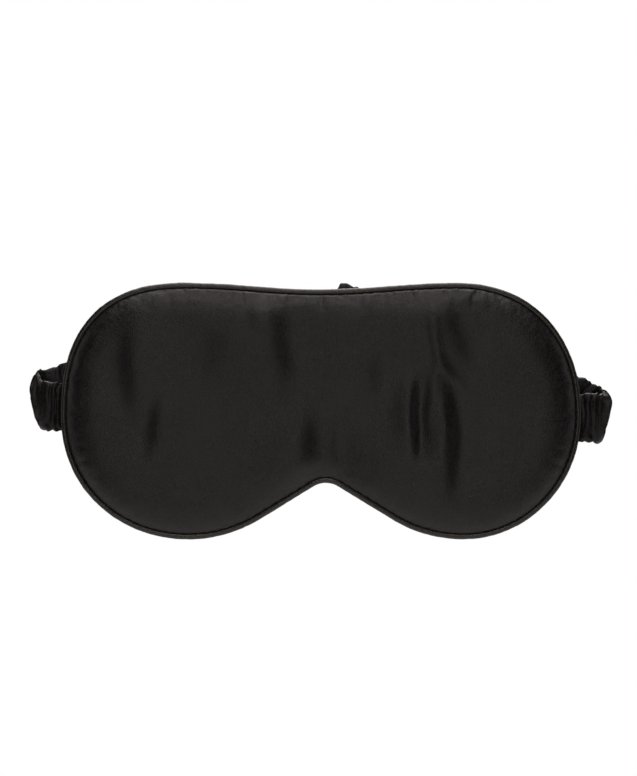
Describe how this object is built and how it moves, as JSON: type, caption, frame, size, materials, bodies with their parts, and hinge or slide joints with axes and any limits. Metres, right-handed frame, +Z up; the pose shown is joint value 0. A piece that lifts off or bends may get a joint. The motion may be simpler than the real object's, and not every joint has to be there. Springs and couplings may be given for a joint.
{
  "type": "sleep eye mask",
  "caption": "Padded silk sleep mask with a piped edge, a nose notch and a ruched elastic strap that loops behind the head.",
  "frame": {"origin": "middle of the face side, where the back panel bears on the wearer", "axes": "+X across the face towards the wearer's left, +Y from the front towards the wearer, +Z up"},
  "size_m": [0.2402, 0.0215, 0.1046],
  "materials": {
    "silk_satin": "black silk satin",
    "liner_silk": "plain silk",
    "wadding": "soft fibre wadding",
    "piping_silk": "bias-cut black silk satin",
    "cotton_cord": "twisted cotton",
    "thread": "black sewing thread",
    "strap_silk": "gathered black silk satin",
    "elastic_web": "woven elastic"
  },
  "bodies": {
    "mask": {"front_panel": "silk_satin", "front_liner": "liner_silk", "filling": "wadding", "back_liner": "liner_silk", "back_panel": "silk_satin", "piping_cover": "piping_silk", "piping_cord": "cotton_cord", "perimeter_stitching": "thread", "closing_stitching": "thread", "strap_tack_left": "thread", "strap_tack_right": "thread", "strap_end_left": "strap_silk", "strap_end_right": "strap_silk", "elastic_end_left": "elastic_web", "elastic_end_right": "elastic_web"},
    "strap_sides": {"strap_side_left": "strap_silk", "strap_side_right": "strap_silk", "elastic_side_left": "elastic_web", "elastic_side_right": "elastic_web"},
    "strap_rear": {"strap_back": "strap_silk", "elastic_back": "elastic_web"}
  },
  "joints": [
    {"name": "strap_swing", "type": "hinge", "parent": "mask", "child": "strap_sides", "pos_m": [0, -0.0017, -0.0005], "axis": [1, 0, 0], "range_deg": [-25, 0], "deforming": ["strap_side_left", "strap_side_right", "elastic_side_left", "elastic_side_right"]},
    {"name": "strap_stretch", "type": "slide", "parent": "strap_sides", "child": "strap_rear", "axis": [0, 1, 0], "range_m": [0, 0.1], "stiffness_N_per_m": 35}
  ]
}
